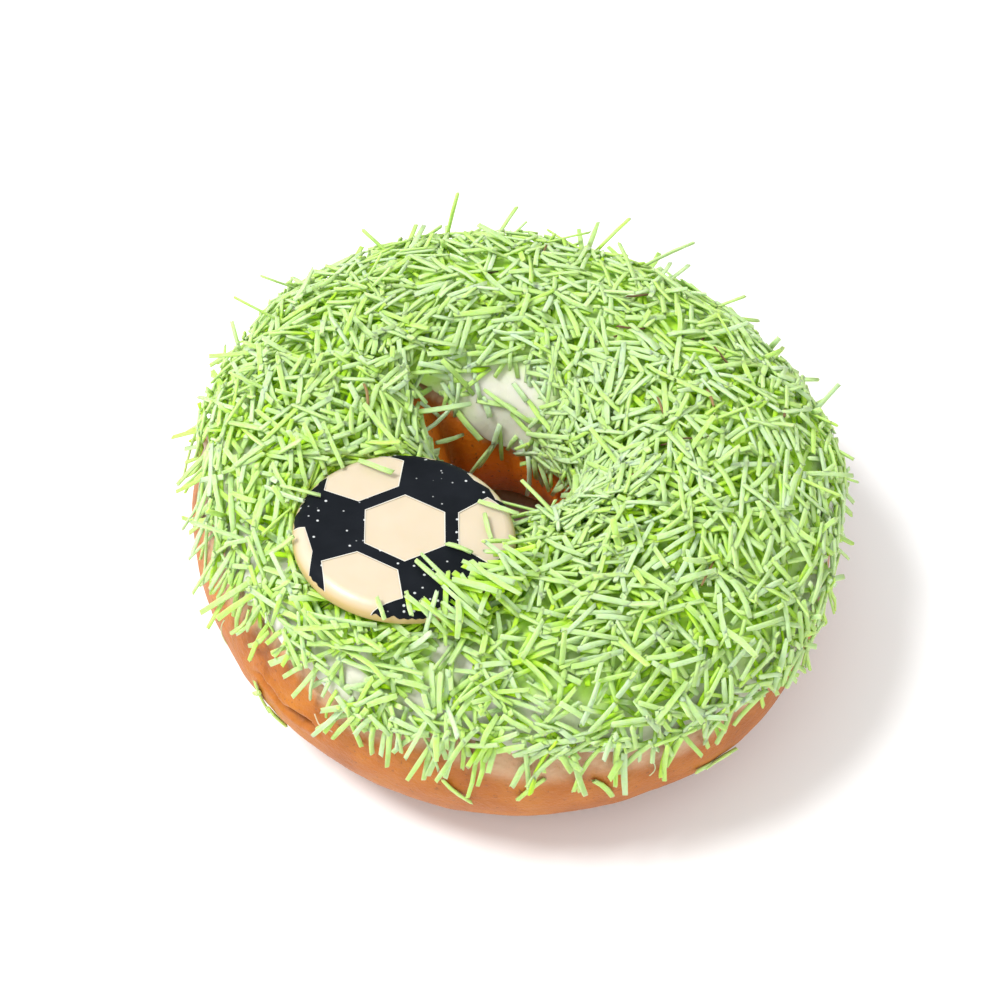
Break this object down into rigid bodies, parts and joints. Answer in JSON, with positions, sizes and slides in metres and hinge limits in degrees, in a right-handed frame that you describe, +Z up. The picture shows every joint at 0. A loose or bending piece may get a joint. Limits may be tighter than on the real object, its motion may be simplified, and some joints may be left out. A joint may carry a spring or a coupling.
{
  "type": "ring doughnut",
  "caption": "Ring doughnut with white icing under a shaggy coat of green shredded sprinkles, and a round football decoration leaning over the hole.",
  "frame": {"origin": "on the surface the doughnut lies on, in the middle of its outline", "axes": "+Z up through the hole; -Y is the side with the decoration to the left of it"},
  "size_m": [0.0934, 0.0931, 0.0417],
  "materials": {
    "dough": "baked golden brown crust, a little glossy near the icing",
    "icing": "white icing covered with matt pale green shreds",
    "disc": "cream chocolate with a thin black print between the pale panels"
  },
  "bodies": {
    "root": {"dough": "dough", "icing": "icing", "football_disc": "disc"}
  },
  "joints": []
}
